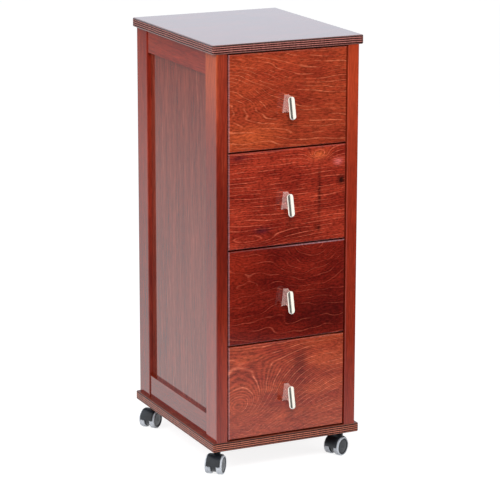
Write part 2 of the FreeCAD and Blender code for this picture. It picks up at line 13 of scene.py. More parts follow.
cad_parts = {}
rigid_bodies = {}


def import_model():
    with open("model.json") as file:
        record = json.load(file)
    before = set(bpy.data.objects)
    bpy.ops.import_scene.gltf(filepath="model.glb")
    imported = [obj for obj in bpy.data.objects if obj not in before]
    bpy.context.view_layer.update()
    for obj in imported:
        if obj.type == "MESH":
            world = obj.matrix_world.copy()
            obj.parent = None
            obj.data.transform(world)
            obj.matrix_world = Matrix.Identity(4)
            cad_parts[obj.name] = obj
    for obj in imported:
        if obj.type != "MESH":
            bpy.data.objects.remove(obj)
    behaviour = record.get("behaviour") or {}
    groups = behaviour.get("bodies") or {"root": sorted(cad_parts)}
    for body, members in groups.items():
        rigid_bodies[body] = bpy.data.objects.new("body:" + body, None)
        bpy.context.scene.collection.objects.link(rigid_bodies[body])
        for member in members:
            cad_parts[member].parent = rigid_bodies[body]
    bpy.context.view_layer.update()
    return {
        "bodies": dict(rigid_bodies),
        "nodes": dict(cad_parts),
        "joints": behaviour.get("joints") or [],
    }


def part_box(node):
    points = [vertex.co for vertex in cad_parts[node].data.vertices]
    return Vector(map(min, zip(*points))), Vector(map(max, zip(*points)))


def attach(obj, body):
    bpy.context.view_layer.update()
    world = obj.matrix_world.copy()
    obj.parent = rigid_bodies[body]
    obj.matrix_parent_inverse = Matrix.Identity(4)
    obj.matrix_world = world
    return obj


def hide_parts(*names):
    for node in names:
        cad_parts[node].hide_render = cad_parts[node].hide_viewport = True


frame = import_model()

MM = 0.001
X_AXIS = Vector((1, 0, 0))

slab_low, slab_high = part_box("top_panel")
CENTRE_Y = (slab_low.y + slab_high.y) / 2
CARCASS_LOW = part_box("front_left_post")[0].z
joints = {joint["name"]: joint for joint in frame["joints"]}
corners = [
    body.removeprefix("caster_").removesuffix("_fork")
    for body in frame["bodies"]
    if body.endswith("_fork")
]
drawers = sorted(body for body in frame["bodies"] if body.startswith("drawer_"))


# ------------------------------------------------------------------ node tools
def linear(hex_colour):
    """An sRGB hex colour as linear RGBA."""
    value = hex_colour.lstrip("#")
    channels = [int(value[i : i + 2], 16) / 255 for i in (0, 2, 4)]
    curve = [c / 12.92 if c <= 0.04045 else ((c + 0.055) / 1.055) ** 2.4 for c in channels]
    return (*curve, 1.0)


def add(tree, kind, inputs=None, **settings):
    """One node with its settings, values and links. A node as a value links its output in use."""
    made = tree.nodes.new(kind)
    for name, value in settings.items():
        setattr(made, name, value)
    for name, value in (inputs or {}).items():
        if isinstance(name, str):
            socket = next(entry for entry in made.inputs if entry.enabled and entry.name == name)
        else:
            socket = made.inputs[name]
        if isinstance(value, bpy.types.Node):
            value = next(entry for entry in value.outputs if entry.enabled)
        if isinstance(value, bpy.types.NodeSocket):
            tree.links.new(value, socket)
        else:
            socket.default_value = value
    return made


def new_material(name):
    made = bpy.data.materials.new(name)
    made.use_nodes = True
    made.node_tree.nodes.clear()
    return made, made.node_tree


# ------------------------------------------------------------------ wood
# The axis that runs across the grain on the faces that show, for each way it can run
ACROSS_GRAIN = {"X": "Z", "Y": "Z", "Z": "Y"}
# How far one step of seed moves a pattern, and the steps between the patterns of one board
SEED_STEP = Vector((7.31, 3.17, 5.43))
ZONE_SEED = 1.7
FIBRE_SEED = 4.1
BREAK_SEED = 8.8
# Length and width in mm of the gaps where a ring's edge fades out, and of the brush's swell
BREAK_MM = (50, 18)
SWELL_MM = (25, 25)
# Plies in a slab's edge: how far they wander, and the open pores that darken them
PLY_WANDER_MM = (90, 90)
PLY_PORES_MM = (30, 3)
PORE_SEED = 2.2


def streaks(tree, along, size_mm, seed, detail=3.0):
    """Soft marks that are stretched along the grain: size_mm is their length and width."""
    length, width = size_mm
    scale = [1 / (MM * (length if axis == along else width)) for axis in "XYZ"]
    local = add(
        tree,
        "ShaderNodeMapping",
        {
            "Vector": add(tree, "ShaderNodeTexCoord").outputs["Object"],
            "Scale": scale,
            "Location": SEED_STEP * seed,
        },
    )
    return add(
        tree,
        "ShaderNodeTexNoise",
        {"Vector": local, "Scale": 1.0, "Detail": detail, "Roughness": 0.6},
    )


def hill(tree, spot):
    """Smooth hill, 1 at its middle: x, z and half sizes in mm; the same at any depth."""
    x, z, half_x, half_z = spot
    local = add(
        tree,
        "ShaderNodeMapping",
        {
            "Vector": add(tree, "ShaderNodeTexCoord").outputs["Object"],
            "Scale": (1 / (half_x * MM), 0.0, 1 / (half_z * MM)),
            "Location": (-x / half_x, 0.0, -z / half_z),
        },
    )
    squared = add(tree, "ShaderNodeVectorMath", {0: local, 1: local}, operation="DOT_PRODUCT")
    fall = add(tree, "ShaderNodeMath", {0: squared, 1: -1.0}, operation="MULTIPLY")
    return add(tree, "ShaderNodeMath", {0: fall}, operation="EXPONENT")


def figure(tree, look, along, seed):
    """Field that rises by one from each growth ring's edge to the next."""
    place = add(tree, "ShaderNodeTexCoord").outputs["Object"]
    parts = add(tree, "ShaderNodeSeparateXYZ", {0: place})
    wander = streaks(tree, along, look["figure_mm"], seed, 2.0)
    straight = add(
        tree,
        "ShaderNodeMath",
        {0: parts.outputs[ACROSS_GRAIN[along]], 1: 1 / (look["ring_mm"] * MM)},
        operation="MULTIPLY",
    )
    field = add(
        tree,
        "ShaderNodeMath",
        {0: wander, 1: look["wander_rings"], 2: straight},
        operation="MULTIPLY_ADD",
    )
    for spot, rings in look.get("swirls", ()):
        field = add(
            tree,
            "ShaderNodeMath",
            {0: hill(tree, spot), 1: rings, 2: field},
            operation="MULTIPLY_ADD",
        )
    return field


def ring_edges(tree, field, rings, width):
    """Thin lines along the contours of the figure, from 0 to 1: rings to each of its steps."""
    finer = add(tree, "ShaderNodeMath", {0: field, 1: rings}, operation="MULTIPLY")
    wave = add(tree, "ShaderNodeMath", {0: finer, 1: 0.5}, operation="PINGPONG")
    return add(
        tree,
        "ShaderNodeMapRange",
        {"Value": wave, "From Min": width, "From Max": 0.0, "To Min": 0.0, "To Max": 1.0},
        interpolation_type="SMOOTHSTEP",
    )


def wood_colour(tree, look, along, seed):
    """Stained ground, cloudy zones, fibre, pale ring edges, and patches: some are marks in the
    wood, some painted light and shade.
    """
    zones = streaks(tree, along, look["zone_mm"], seed + ZONE_SEED, 2.0)
    stain = add(tree, "ShaderNodeMapRange", {"Value": zones, "From Min": 0.34, "From Max": 0.66})
    colour = add(
        tree,
        "ShaderNodeMix",
        {"Factor": stain, "A": linear(look["deep"]), "B": linear(look["ground"])},
        data_type="RGBA",
    )
    # A patch is a mark in the wood's tone, or painted light, shade or a painted highlight
    for spot, tone, weight in look.get("patches", ()):
        cover = add(tree, "ShaderNodeMath", {0: hill(tree, spot), 1: weight}, operation="MULTIPLY")
        colour = add(
            tree,
            "ShaderNodeMix",
            {"Factor": cover, "A": colour, "B": linear(tone)},
            data_type="RGBA",
        )
    field = figure(tree, look, along, seed)
    fine = ring_edges(tree, field, look["fine_rings"], 0.5)
    breaks = streaks(tree, along, BREAK_MM, seed + BREAK_SEED, 2.0)
    shown = add(
        tree,
        "ShaderNodeMapRange",
        {"Value": breaks, "From Min": 0.4, "From Max": 0.6, "To Max": look["line_strength"]},
    )
    lines = add(
        tree,
        "ShaderNodeMath",
        {0: ring_edges(tree, field, 1.0, look["line_width"]), 1: shown},
        operation="MULTIPLY",
    )
    colour = add(
        tree,
        "ShaderNodeMix",
        {"Factor": lines, "A": colour, "B": linear(look["pale"])},
        data_type="RGBA",
    )
    fibre = streaks(tree, along, look["fibre_mm"], seed + FIBRE_SEED, 4.0)
    strength = look["fibre_strength"]
    shade = add(
        tree,
        "ShaderNodeMapRange",
        {
            "Value": fibre,
            "From Min": 0.36,
            "From Max": 0.64,
            "To Min": 1 - strength,
            "To Max": 1 + strength,
        },
    )
    grown = add(
        tree,
        "ShaderNodeMath",
        {0: fine, 1: look["fine_strength"], 2: shade},
        operation="MULTIPLY_ADD",
    )
    colour = add(tree, "ShaderNodeVectorMath", {0: colour, "Scale": grown}, operation="SCALE")
    return colour, fibre


def lacquered(tree, colour, fibre, coats=1.0):
    """Clear gloss lacquer, brushed thick over wood: nearly mirror-smooth, with all its shine
    in the coat, because the wood under it is wetted and has none of its own. coats
    is the share of a full build."""
    base_relief = add(
        tree, "ShaderNodeBump", {"Height": fibre, "Strength": 0.25, "Distance": 0.3 * MM}
    )
    # The brush leaves a faint swell, which bends reflections a little
    swell = streaks(tree, "X", SWELL_MM, 0.0, 1.0)
    coat_relief = add(
        tree, "ShaderNodeBump", {"Height": swell, "Strength": 0.08, "Distance": 0.4 * MM}
    )
    shader = add(
        tree,
        "ShaderNodeBsdfPrincipled",
        {
            "Base Color": colour,
            "Roughness": 0.5,
            "IOR": 1.5,
            "Specular IOR Level": 0.0,
            "Coat Weight": coats,
            "Coat Roughness": 0.06,
            "Coat IOR": 1.5,
            "Normal": base_relief,
            "Coat Normal": coat_relief,
        },
    )
    add(tree, "ShaderNodeOutputMaterial", {"Surface": shader})


def stained_wood(name, look, along, seed):
    made, tree = new_material(name)
    lacquered(tree, *wood_colour(tree, look, along, seed))
    return made


def ply_edge(tree, look, low_z, thickness):
    """Plies stacked up the edge of a slab; those with the fibre end-on drink more stain.
    Real plies are thinner: fewer are drawn, so that they show."""
    place = add(tree, "ShaderNodeTexCoord").outputs["Object"]
    parts = add(tree, "ShaderNodeSeparateXYZ", {0: place})
    pairs = look["plies"] / 2
    stack = add(
        tree,
        "ShaderNodeMapRange",
        {
            "Value": parts.outputs["Z"],
            "From Min": low_z,
            "From Max": low_z + thickness,
            "To Min": 0.25,
            "To Max": 0.25 + pairs,
        },
        clamp=False,
    )
    wander = streaks(tree, "X", PLY_WANDER_MM, look["seed"], 2.0)
    bent = add(
        tree, "ShaderNodeMath", {0: wander, 1: 0.6, 2: stack}, operation="MULTIPLY_ADD"
    )
    wave = add(tree, "ShaderNodeMath", {0: bent, 1: 0.5}, operation="PINGPONG")
    stripe = add(tree, "ShaderNodeMapRange", {"Value": wave, "From Min": 0.13, "From Max": 0.27})
    plies = add(
        tree,
        "ShaderNodeMix",
        {"Factor": stripe, "A": linear(look["ply_light"]), "B": linear(look["ply_dark"])},
        data_type="RGBA",
    )
    pores = streaks(tree, "Z", PLY_PORES_MM, look["seed"] + PORE_SEED, 3.0)
    shade = add(
        tree,
        "ShaderNodeMapRange",
        {"Value": pores, "From Min": 0.32, "From Max": 0.68, "To Min": 0.75, "To Max": 1.3},
    )
    # The plies darken towards the slab's top and bottom faces
    middle = low_z + thickness / 2
    off_middle = add(tree, "ShaderNodeMath", {0: parts.outputs["Z"], 1: -middle})
    distance = add(tree, "ShaderNodeMath", {0: off_middle}, operation="ABSOLUTE")
    arris = add(
        tree,
        "ShaderNodeMapRange",
        {
            "Value": distance,
            "From Min": 0.28 * thickness,
            "From Max": 0.46 * thickness,
            "To Min": 1.0,
            "To Max": 0.4,
        },
    )
    tone = add(tree, "ShaderNodeMath", {0: shade, 1: arris}, operation="MULTIPLY")
    return add(tree, "ShaderNodeVectorMath", {0: plies, "Scale": tone}, operation="SCALE")


def stained_plywood(name, look, node, coats):
    """Lacquered slab: face veneer on the flats, and its plies as stripes round the edge."""
    made, tree = new_material(name)
    face, fibre = wood_colour(tree, look, "X", look["seed"])
    low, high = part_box(node)
    edge = ply_edge(tree, look, low.z, high.z - low.z)
    way = add(tree, "ShaderNodeTexCoord").outputs["Normal"]
    parts = add(tree, "ShaderNodeSeparateXYZ", {0: way})
    level = add(tree, "ShaderNodeMath", {0: parts.outputs["Z"]}, operation="ABSOLUTE")
    flat = add(tree, "ShaderNodeMapRange", {"Value": level, "From Min": 0.9, "From Max": 0.99})
    colour = add(tree, "ShaderNodeMix", {"Factor": flat, "A": edge, "B": face}, data_type="RGBA")
    lacquered(tree, colour, fibre, coats)
    return made


# Red-brown stain on rotary-cut birch. The veneer is peeled round the log, so the growth
# rings open into wide wavy contours; ring edges drink less stain and stay pale. Birch
# fibre is far finer than a millimetre: it is drawn a few millimetres wide so that it shows.
WOOD = {
    "pale": "#c96a4c",
    "ground": "#a04229",
    "deep": "#7f2818",
    "figure_mm": (260, 70),
    "wander_rings": 5.0,
    "ring_mm": 14.0,
    "zone_mm": (150, 40),
    "fibre_mm": (9, 2.7),
    "fibre_strength": 0.42,
    "line_strength": 0.45,
    "line_width": 0.11,
    "fine_rings": 3.0,
    "fine_strength": 0.3,
}


def wood_look(**changes):
    return {**WOOD, **changes}


def at_front(number, x, z, half_x, half_z):
    """A spot on a drawer's front, from its middle, in mm."""
    low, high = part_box(f"drawer_{number}_front")
    return (x, (low.z + high.z) / 2 / MM + z, half_x, half_z)


# Painted highlight on the fronts' rounded arrises, where the gloss reflects the light: its tone
# and its weight
ARRIS_HIGHLIGHT_TONE = "#a98a92"
ARRIS_HIGHLIGHT_WEIGHT = 0.45
# Each front's own veneer. A swirl is a place and how many rings it lifts the figure; a patch
# is a place, a tone and its weight: a mark in the veneer, or a painted highlight on an arris.
FRONT_LOOKS = {
    1: wood_look(
        pale="#cc7450",
        ground="#93381f",
        deep="#7b2817",
        wander_rings=4.0,
        swirls=((at_front(1, -190, 30, 150, 110), -7.0),),
        patches=(
            (at_front(1, -40, 70, 70, 40), "#8a2e1a", 0.5),
            (at_front(1, -110, -90, 90, 30), "#b04e28", 0.6),
        ),
    ),
    2: wood_look(
        pale="#c8654a",
        ground="#922f1d",
        deep="#68160e",
        wander_rings=3.0,
        ring_mm=11.0,
        fine_rings=2.0,
        fibre_strength=0.5,
        line_strength=0.55,
        swirls=((at_front(2, 90, 100, 30, 16), 3.2), (at_front(2, -120, -105, 90, 18), 3.5)),
        patches=(
            (at_front(2, 90, 102, 24, 11), "#b4512c", 0.8),
            (at_front(2, 144, 80, 11, 8), "#c0605a", 0.9),
            (at_front(2, 154, 31, 11, 12), "#1d0604", 1.0),
            (at_front(2, 91, 4, 5, 58), "#3f0e09", 0.85),
            (at_front(2, 89, -89, 7, 7), "#310906", 0.9),
            (at_front(2, -72, -81, 22, 9), "#43121a", 0.85),
            (at_front(2, -137, 112, 30, 9), "#4c1418", 0.8),
            (at_front(2, 30, -100, 60, 20), "#58140d", 0.6),
        ),
    ),
    3: wood_look(
        pale="#a44c37",
        ground="#711b10",
        deep="#540d09",
        figure_mm=(170, 100),
        ring_mm=26.0,
        wander_rings=5.0,
        line_strength=0.42,
        line_width=0.07,
        fine_strength=0.26,
        swirls=((at_front(3, -113, 25, 60, 17), 1.7), (at_front(3, 80, 100, 80, 70), 3.0)),
        patches=(
            (at_front(3, -150, 70, 60, 60), "#8a2614", 0.6),
            (at_front(3, 110, -70, 70, 50), "#3f0a09", 0.6),
            # Painted highlight along the top arris, where the gloss catches the light
            (at_front(3, 90, 123, 100, 1.3), ARRIS_HIGHLIGHT_TONE, 0.5),
        ),
    ),
    4: wood_look(
        pale="#d0795a",
        ground="#953e25",
        deep="#78271a",
        figure_mm=(220, 100),
        ring_mm=12.0,
        wander_rings=2.0,
        fibre_strength=0.44,
        fine_strength=0.6,
        line_strength=0.4,
        line_width=0.09,
        swirls=(
            (at_front(4, -140, -50, 170, 110), 13.0),
            (at_front(4, -140, -50, 55, 40), 3.5),
            (at_front(4, -105, -122, 45, 26), 4.0),
        ),
        patches=(
            (at_front(4, 38, 45, 22, 68), "#5a1810", 0.9),
            (at_front(4, 12, 0, 42, 50), "#742618", 0.6),
        ),
    ),
}
# Where the painted highlight runs down each front's left arris, from the front's middle, in mm
LEFT_ARRIS_HIGHLIGHT_SPOT = (-164.5, 0, 1.3, 600)
# Solid birch sawn along the grain, for posts and rails
STRAIGHT = wood_look(
    pale="#b0523a",
    ground="#8f2f1b",
    deep="#792014",
    figure_mm=(500, 30),
    wander_rings=2.0,
    ring_mm=16.0,
    zone_mm=(400, 30),
    fibre_mm=(40, 2.8),
    fibre_strength=0.24,
    line_strength=0.15,
    fine_strength=0.05,
)
# The posts' patches are painted light and shade: lighter at the top, where the lamps fall most,
# darker in the middle of the front posts and low on the back left post, and a painted light at the
# top of the front left post's side and its left arris.
POST_LOOKS_WITH_PAINTED_LIGHT = {
    "front_left_post": {
        **STRAIGHT,
        "patches": (
            ((-184, 640, 60, 260), "#5e150c", 0.8),
            ((-184, 1080, 60, 120), "#8c3421", 0.7),
            ((-203, 1080, 6, 150), "#c25a30", 0.65),
        ),
    },
    "front_right_post": {
        **STRAIGHT,
        "patches": (
            ((184, 1020, 60, 200), "#a63c20", 0.9),
            ((184, 600, 60, 200), "#8f2b17", 0.6),
        ),
    },
    "back_left_post": {
        **STRAIGHT,
        "patches": (((-184, 260, 60, 420), "#651a10", 0.75),),
    },
    "back_right_post": STRAIGHT,
}
# The rails' patch is painted shade, darker low down on the left side
RAIL_LOOK_WITH_PAINTED_SHADE = {**STRAIGHT, "patches": (((-190, 130, 300, 120), "#6c2216", 0.75),)}
PANEL_LOOK = {
    **STRAIGHT,
    "pale": "#a3604a",
    "ground": "#7e3425",
    "deep": "#69251b",
    "fibre_strength": 0.3,
    "figure_mm": (420, 60),
    "wander_rings": 3.0,
    "ring_mm": 24.0,
    "line_strength": 0.35,
}
SLAB_LOOK = wood_look(
    pale="#8c4632",
    ground="#6b2c1d",
    deep="#57231a",
    ply_dark="#2c0b0a",
    plies=9,
    seed=6.0,
    line_strength=0.2,
    fibre_strength=0.1,
)


# ------------------------------------------------------------------ other materials
# Length and width in mm of the unevenness in a casting, a plating and a moulding
CASTING_MM = (6, 6)
SPANGLE_MM = 2
MOTTLE_MM = (30, 30)
def nickel_plate(name, tint, metal, smooth, rough):
    """Nickel on a zinc casting: a warm, bright metal that softens what it mirrors."""
    made, tree = new_material(name)
    cast = streaks(tree, "X", CASTING_MM, 0.0, 2.0)
    roughness = add(
        tree,
        "ShaderNodeMapRange",
        {"Value": cast, "From Min": 0.3, "From Max": 0.7, "To Min": smooth, "To Max": rough},
    )
    shader = add(
        tree,
        "ShaderNodeBsdfPrincipled",
        {"Base Color": linear(tint), "Metallic": metal, "Roughness": roughness},
    )
    add(tree, "ShaderNodeOutputMaterial", {"Surface": shader})
    return made


def zinc_plate():
    """Zinc-plated pressed steel: dull blue-grey with a faint spangle."""
    made, tree = new_material("zinc_plated_steel")
    place = add(tree, "ShaderNodeTexCoord").outputs["Object"]
    spangle = add(tree, "ShaderNodeTexVoronoi", {"Vector": place, "Scale": 1 / (SPANGLE_MM * MM)})
    colour = add(
        tree,
        "ShaderNodeMix",
        {"Factor": spangle, "A": linear("#b9bcc0"), "B": linear("#9a9ea4")},
        data_type="RGBA",
    )
    shader = add(
        tree,
        "ShaderNodeBsdfPrincipled",
        {"Base Color": colour, "Metallic": 1.0, "Roughness": 0.34},
    )
    add(tree, "ShaderNodeOutputMaterial", {"Surface": shader})
    return made


def moulded(name, dark, light, grain_mm, roughness, bump):
    """Moulded plastic or rubber: an even colour, mottled a little, over a fine texture."""
    made, tree = new_material(name)
    mottle = streaks(tree, "X", MOTTLE_MM, 3.0, 2.0)
    texture = streaks(tree, "X", (grain_mm, grain_mm), 5.0, 2.0)
    tone = add(tree, "ShaderNodeMapRange", {"Value": mottle, "From Min": 0.35, "From Max": 0.65})
    colour = add(
        tree,
        "ShaderNodeMix",
        {"Factor": tone, "A": linear(dark), "B": linear(light)},
        data_type="RGBA",
    )
    relief = add(
        tree, "ShaderNodeBump", {"Height": texture, "Strength": bump, "Distance": 0.2 * MM}
    )
    rough = add(
        tree,
        "ShaderNodeMapRange",
        {
            "Value": texture,
            "From Min": 0.3,
            "From Max": 0.7,
            "To Min": roughness - 0.06,
            "To Max": roughness + 0.06,
        },
    )
    shader = add(
        tree,
        "ShaderNodeBsdfPrincipled",
        {"Base Color": colour, "Roughness": rough, "IOR": 1.5, "Normal": relief},
    )
    add(tree, "ShaderNodeOutputMaterial", {"Surface": shader})
    return made


def bare_birch(name, along, ground, deep, seed):
    """Sanded birch ply inside the drawers, under a thin dull lacquer."""
    look = wood_look(
        pale="#e6cba0",
        ground=ground,
        deep=deep,
        fibre_strength=0.06,
        fine_strength=0.03,
        line_strength=0.3,
    )
    made, tree = new_material(name)
    colour, fibre = wood_colour(tree, look, along, seed)
    relief = add(tree, "ShaderNodeBump", {"Height": fibre, "Strength": 0.3, "Distance": 0.2 * MM})
    shader = add(
        tree,
        "ShaderNodeBsdfPrincipled",
        {"Base Color": colour, "Roughness": 0.5, "IOR": 1.5, "Normal": relief},
    )
    add(tree, "ShaderNodeOutputMaterial", {"Surface": shader})
    return made


# ------------------------------------------------------------------ dressing the CAD nodes
def dress(node, material):
    """Give a carried-over CAD node its material in every slot."""
    target = frame["nodes"][node]
    if not target.material_slots:
        target.data.materials.append(material)
    for slot in target.material_slots:
        slot.material = material


def dress_carcass(steel):
    # The top gets the full build of lacquer, and the base a thinner one
    for name, node, coats, ply_light in (
        ("top", "top_panel", 1.0, "#a86c64"),
        ("base", "bottom_panel", 0.45, "#bb6b53"),
    ):
        look = {**SLAB_LOOK, "ply_light": ply_light}
        dress(node, stained_plywood(f"lacquered_birch_ply_{name}", look, node, coats))
    # The posts' looks carry painted light and shade in their patches
    for seed, (node, look) in enumerate(POST_LOOKS_WITH_PAINTED_LIGHT.items()):
        dress(node, stained_wood(f"stained_{node}", look, "Z", seed + 1.0))
    dress("side_rails", stained_wood("stained_rails_with_painted_shade", RAIL_LOOK_WITH_PAINTED_SHADE, "Y", 9.0))
    for seed, node in enumerate(("left_side_panel", "right_side_panel", "back_panel")):
        dress(node, stained_wood(f"stained_veneer_{node}", PANEL_LOOK, "Z", 12.0 + seed))
    beech = bare_birch("planed_beech", "Y", "#c99a68", "#b98656", 3.0)
    for node in ("left_runners", "right_runners", "drawer_stops", "top_dowels"):
        dress(node, beech)
    for node in (
        "base_screws",
        "runner_screws",
        "back_panel_screws",
        "caster_plates",
        "caster_stems",
        "caster_plate_screws",
    ):
        dress(node, steel)


# Bare parts of a drawer: the grain's way, ground, deep tone, and steps of seed from its number
BOX_LOOKS = {
    "sides": ("Y", "#d8b483", "#c9a06c", 0),
    "back": ("X", "#d8b483", "#c9a06c", 5),
    "bottom": ("X", "#dcba8b", "#cda674", 9),
}


def dress_drawers(steel):
    for number in range(1, len(drawers) + 1):
        name = f"drawer_{number}"
        look = dict(FRONT_LOOKS[number])
        # A painted highlight down the left arris, where its rounded gloss reflects the light
        look["patches"] += ((at_front(number, *LEFT_ARRIS_HIGHLIGHT_SPOT), ARRIS_HIGHLIGHT_TONE, ARRIS_HIGHLIGHT_WEIGHT),)
        front = stained_wood(f"stained_birch_front_{number}", look, "X", number * 2.3)
        dress(f"{name}_front", front)
        for part, (along, ground, deep, step) in BOX_LOOKS.items():
            birch = bare_birch(f"birch_ply_{part}_{number}", along, ground, deep, number + step)
            dress(f"{name}_{part}", birch)
        dress(f"{name}_fasteners", steel)


# ------------------------------------------------------------------ shape tools
SHARP = math.radians(38)
HAIR = 0.001 * MM


def finish_piece(name, shape, body, material, replaced, eased=0.0):
    """Turn a bmesh into a piece that rides on a body, with soft shading and eased edges."""
    bmesh.ops.recalc_face_normals(shape, faces=shape.faces)
    mesh = bpy.data.meshes.new(name)
    shape.to_mesh(mesh)
    shape.free()
    for face in mesh.polygons:
        face.use_smooth = True
    mesh.set_sharp_from_angle(angle=SHARP)
    made = bpy.data.objects.new(name, mesh)
    bpy.context.collection.objects.link(made)
    mesh.materials.append(material)
    if eased:
        edges = made.modifiers.new("eased_edges", "BEVEL")
        edges.width = eased
        edges.segments = 2
        edges.limit_method = "ANGLE"
        edges.angle_limit = SHARP
    made.modifiers.new("flat_faces_stay_flat", "WEIGHTED_NORMAL").keep_sharp = True
    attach(made, body)
    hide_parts(replaced)


def join_shapes(parts):
    """Gather several closed bmesh shapes in one."""
    whole = bmesh.new()
    for part in parts:
        bmesh.ops.recalc_face_normals(part, faces=part.faces)
        mesh = bpy.data.meshes.new("part")
        part.to_mesh(mesh)
        part.free()
        whole.from_mesh(mesh)
        bpy.data.meshes.remove(mesh)
    return whole


def move(shape, matrix):
    bmesh.ops.transform(shape, matrix=matrix, verts=shape.verts)
    return shape


def cuboid(size, centre=(0, 0, 0)):
    shape = bmesh.new()
    bmesh.ops.create_cube(shape, size=1.0)
    bmesh.ops.scale(shape, vec=Vector(size), verts=shape.verts)
    bmesh.ops.translate(shape, vec=Vector(centre), verts=shape.verts)
    return shape


def round_edges(shape, edges, radius, segments):
    bmesh.ops.bevel(
        shape,
        geom=edges,
        offset=radius,
        segments=segments,
        profile=0.5,
        affect="EDGES",
        material=-1,
    )


def turned(profile, steps=64, angle=math.tau, close=True):
    """Spin (out along Y, radius) points about the Y axis; a part turn gets end faces."""
    shape = bmesh.new()
    points = [shape.verts.new((radius, out, 0)) for out, radius in profile]
    loop = points + points[:1] if close else points
    edges = [shape.edges.new(pair) for pair in zip(loop, loop[1:])]
    bmesh.ops.spin(
        shape,
        geom=points + edges,
        cent=(0, 0, 0),
        axis=(0, -1, 0),
        angle=angle,
        steps=steps,
        use_merge=angle == math.tau,
    )
    bmesh.ops.remove_doubles(shape, verts=shape.verts, dist=HAIR)
    open_edges = [edge for edge in shape.edges if edge.is_boundary]
    if open_edges:
        bmesh.ops.holes_fill(shape, edges=open_edges, sides=0)
    return shape


# ------------------------------------------------------------------ pulls
BAR_SIZE = Vector((18, 5, 59)) * MM
BAR_CORNER = 8 * MM
BAR_CORNER_STEPS = 12
BAR_EDGE = 1.9 * MM
BAR_EDGE_STEPS = 5
BAR_CROWN_RADIUS = 24 * MM
BAR_CROWN_CUTS = 12
BAR_DROP = 18 * MM
BAR_LEAN = math.radians(13)
NECK_LENGTH = 33 * MM
NECK_CUTS = 14
NECK_EDGE = 1.6 * MM
NECK_EDGE_STEPS = 4
# The neck's top, bottom and half width in mm: at the drawer, half way, and at the bar
NECK_SECTIONS = ((11.0, -34.0, 11.0), (7.5, -25.0, 7.0), (7.0, -31.0, 7.0))
# How much of its width the neck's top loses at the drawer
NECK_TAPER = 0.5


def pull_bar():
    """Bar with round ends and edges, whose outer face is crowned across its width."""
    bar = cuboid(BAR_SIZE)
    ends = [e for e in bar.edges if abs(e.verts[0].co.y - e.verts[1].co.y) > BAR_SIZE.y / 2]
    round_edges(bar, ends, BAR_CORNER, BAR_CORNER_STEPS)
    rims = [e for e in bar.edges if abs(e.verts[0].co.y - e.verts[1].co.y) < HAIR]
    round_edges(bar, rims, BAR_EDGE, BAR_EDGE_STEPS)
    for cut in range(1, BAR_CROWN_CUTS):
        place = BAR_SIZE.x * (cut / BAR_CROWN_CUTS - 0.5)
        geometry = bar.verts[:] + bar.edges[:] + bar.faces[:]
        bmesh.ops.bisect_plane(bar, geom=geometry, plane_co=(place, 0, 0), plane_no=X_AXIS)
    for vertex in bar.verts:
        if vertex.co.y < 0:
            fall = vertex.co.x**2 / (2 * BAR_CROWN_RADIUS)
            vertex.co.y += fall * vertex.co.y / (-BAR_SIZE.y / 2)
    return bar


def along_neck(t, column):
    """Size on the curve through the neck's three sections, 0 at the drawer and 1 at the bar."""
    near, middle, far = (section[column] * MM for section in NECK_SECTIONS)
    return near * (1 - t) * (1 - 2 * t) + middle * 4 * t * (1 - t) + far * t * (2 * t - 1)


def pull_neck():
    """Web hollowed above, below and at its sides. At the drawer it flares, and is narrower at
    its top than at its bottom. It ends inside the bar, so its end leans as the bar does."""
    neck = cuboid((1, 1, 1), (0, 0.5, 0))
    long_edges = [e for e in neck.edges if abs(e.verts[0].co.y - e.verts[1].co.y) > 0.5]
    bmesh.ops.subdivide_edges(neck, edges=long_edges, cuts=NECK_CUTS, use_grid_fill=True)
    for vertex in neck.verts:
        t = vertex.co.y
        narrowing = NECK_TAPER * (1 - t) if vertex.co.z > 0 else 0
        vertex.co.x = math.copysign(along_neck(t, 2) * (1 - narrowing), vertex.co.x)
        vertex.co.z = along_neck(t, 0 if vertex.co.z > 0 else 1)
        vertex.co.y = t * ((vertex.co.z + BAR_DROP) * math.tan(BAR_LEAN) - NECK_LENGTH)
    creases = [e for e in neck.edges if abs(e.verts[0].co.y - e.verts[1].co.y) > 0.01 * MM]
    round_edges(neck, creases, NECK_EDGE, NECK_EDGE_STEPS)
    return neck


def build_pulls():
    """Each pull sits where its CAD solid does, a little off the middle of its front. The bar
    is buffed before plating. The neck keeps its satin cast surface, which scatters part of the
    light."""
    buffed = nickel_plate("buffed_nickel_plate", "#ece8e0", 1.0, 0.1, 0.18)
    # Part of the neck's pink tint is painted reflection of the red fronts beside it
    satin = nickel_plate("satin_nickel_plate", "#f8d9d0", 0.7, 0.22, 0.3)
    at_bar = Matrix.Translation((0, -NECK_LENGTH, -BAR_DROP)) @ Matrix.Rotation(-BAR_LEAN, 4, "X")
    for number in range(1, len(drawers) + 1):
        name = f"drawer_{number}"
        low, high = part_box(f"{name}_pull")
        foot = Vector(((low.x + high.x) / 2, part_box(f"{name}_front")[0].y, high.z))
        foot.z -= NECK_SECTIONS[0][0] * MM
        bar = move(pull_bar(), Matrix.Translation(foot) @ at_bar)
        neck = move(pull_neck(), Matrix.Translation(foot))
        finish_piece(f"{name}_pull_bar", bar, name, buffed, f"{name}_pull")
        finish_piece(f"{name}_pull_neck", neck, name, satin, f"{name}_pull")


